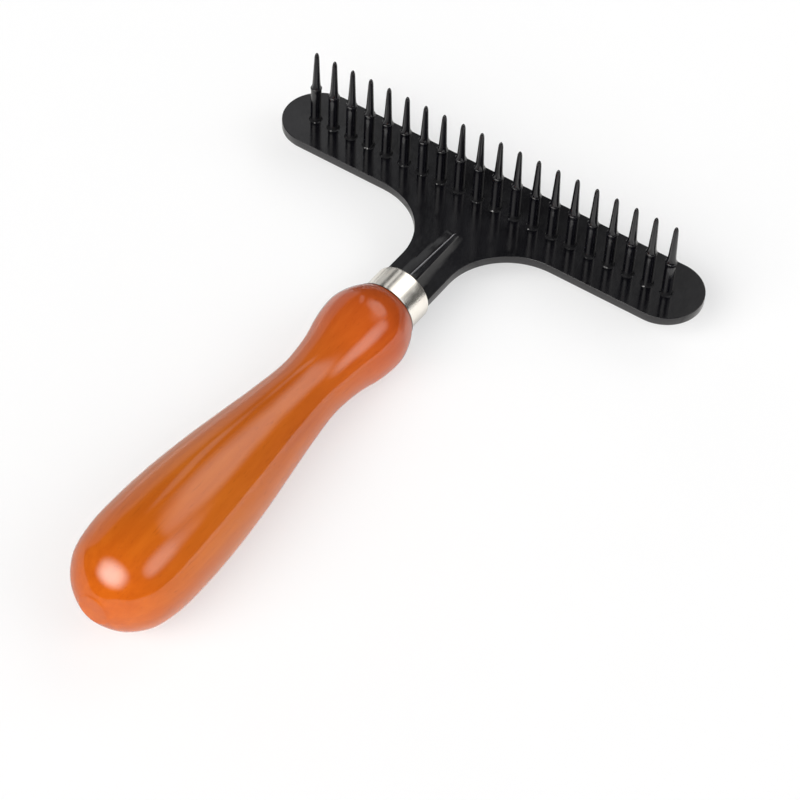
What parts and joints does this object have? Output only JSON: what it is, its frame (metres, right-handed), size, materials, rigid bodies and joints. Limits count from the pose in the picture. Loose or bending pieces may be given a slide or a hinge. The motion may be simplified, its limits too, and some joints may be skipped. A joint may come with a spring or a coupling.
{
  "type": "deshedding tool",
  "caption": "Hand-held pet deshedding rake: turned wooden handle, plated ferrule and a black T-shaped head with one row of stepped pins.",
  "frame": {"origin": "centre of the handle's flat butt face", "axes": "+Y along the handle from the butt to the head, +X along the bar of the head, +Z the way the pins point; the plane X = 0 is the symmetry plane"},
  "size_m": [0.11, 0.15, 0.0336],
  "materials": {
    "lacquered_wood": "glossy orange-brown lacquer over fine straight grain",
    "nickel_plate": "polished nickel plating, slightly warm",
    "cured_resin": "cured amber epoxy, semi-gloss",
    "black_coat": "glossy black baked coating"
  },
  "bodies": {
    "root": {"handle": "lacquered_wood", "ferrule": "nickel_plate", "tang_bond": "cured_resin", "head_plate": "black_coat", "tooth_01": "black_coat", "tooth_02": "black_coat", "tooth_03": "black_coat", "tooth_04": "black_coat", "tooth_05": "black_coat", "tooth_06": "black_coat", "tooth_07": "black_coat", "tooth_08": "black_coat", "tooth_09": "black_coat", "tooth_10": "black_coat", "tooth_11": "black_coat", "tooth_12": "black_coat", "tooth_13": "black_coat", "tooth_14": "black_coat", "tooth_15": "black_coat", "tooth_16": "black_coat", "tooth_17": "black_coat", "tooth_18": "black_coat", "tooth_19": "black_coat", "tooth_20": "black_coat"}
  },
  "joints": []
}
